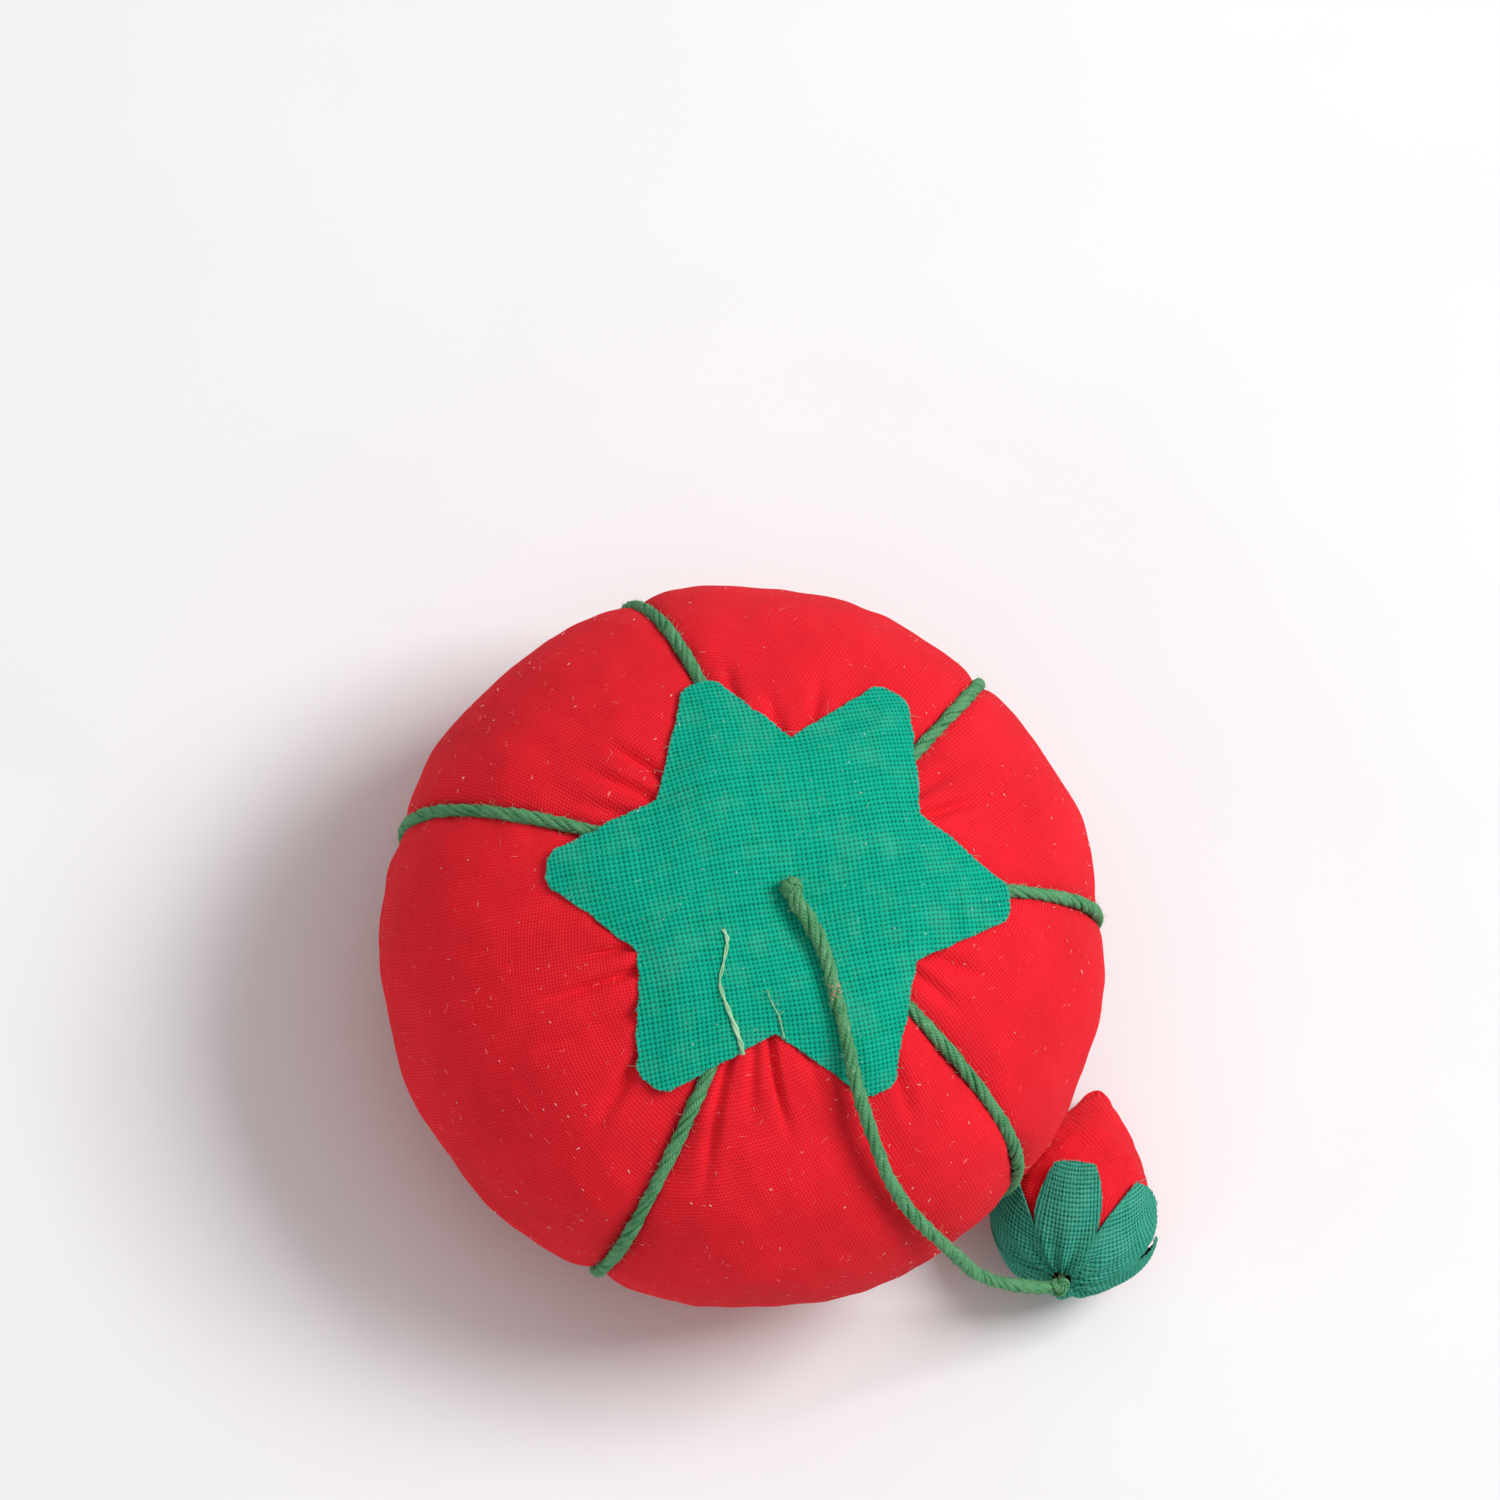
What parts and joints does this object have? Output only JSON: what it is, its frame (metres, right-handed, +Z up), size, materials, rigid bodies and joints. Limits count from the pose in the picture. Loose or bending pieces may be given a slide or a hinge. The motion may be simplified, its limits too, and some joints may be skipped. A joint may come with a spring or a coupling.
{
  "type": "tomato pincushion",
  "caption": "Stuffed cotton ball tied into uneven segments, with a cloth star on top and a small strawberry-shaped emery sharpener on a cord.",
  "frame": {"origin": "middle of the footprint of the tomato and the strawberry, on the surface they stand on", "axes": "+Z up along the tomato's own axis, +X towards the side where the strawberry lies"},
  "size_m": [0.0576, 0.0519, 0.0353],
  "materials": {
    "tomato_cotton": "fine plain-weave cotton, matt",
    "star_cotton": "open plain-weave cotton with raw cut edges",
    "green_cord": "twisted cotton cord",
    "red_thread": "sewing thread",
    "strawberry_cloth": "soft matt cotton with a slight nap",
    "cap_cotton": "plain-weave cotton with raw cut edges",
    "fibre_stuffing": "packed fibre",
    "emery_grit": "packed grit"
  },
  "bodies": {
    "tomato": {"tomato_cover": "tomato_cotton", "tomato_stuffing": "fibre_stuffing", "top_gathering_thread": "red_thread", "bottom_gathering_thread": "red_thread", "segment_cord_1": "green_cord", "segment_cord_2": "green_cord", "segment_cord_3": "green_cord", "segment_cord_4": "green_cord", "segment_cord_5": "green_cord", "segment_cord_6": "green_cord", "core_thread": "green_cord", "bottom_knot": "green_cord", "calyx": "star_cotton"},
    "anchor": {"tether_anchor": "green_cord"},
    "tether": {"tether_cord": "green_cord"},
    "neck": {"strawberry_knot": "green_cord"},
    "strawberry": {"strawberry_cover": "strawberry_cloth", "emery_filling": "emery_grit", "strawberry_gathering_thread": "red_thread", "strawberry_calyx": "cap_cotton"}
  },
  "joints": [
    {"name": "tether_swing", "type": "hinge", "parent": "tomato", "child": "anchor", "pos_m": [-0.0029, 0, 0.03445], "axis": [0, 0, 1], "range_deg": [-180, 180]},
    {"name": "tether_lift", "type": "hinge", "parent": "anchor", "child": "tether", "pos_m": [-0.0029, 0, 0.03445], "axis": [-0.6947, -0.7193, 0], "range_deg": [0, 100]},
    {"name": "strawberry_swing", "type": "hinge", "parent": "tether", "child": "neck", "pos_m": [0.0211, -0.02295, 0.00845], "axis": [0, 0, 1], "range_deg": [-150, 0]},
    {"name": "strawberry_roll", "type": "hinge", "parent": "neck", "child": "strawberry", "pos_m": [0.0211, -0.02295, 0.00845], "axis": [0.2669, 0.901, -0.342], "range_deg": [-180, 180]}
  ]
}
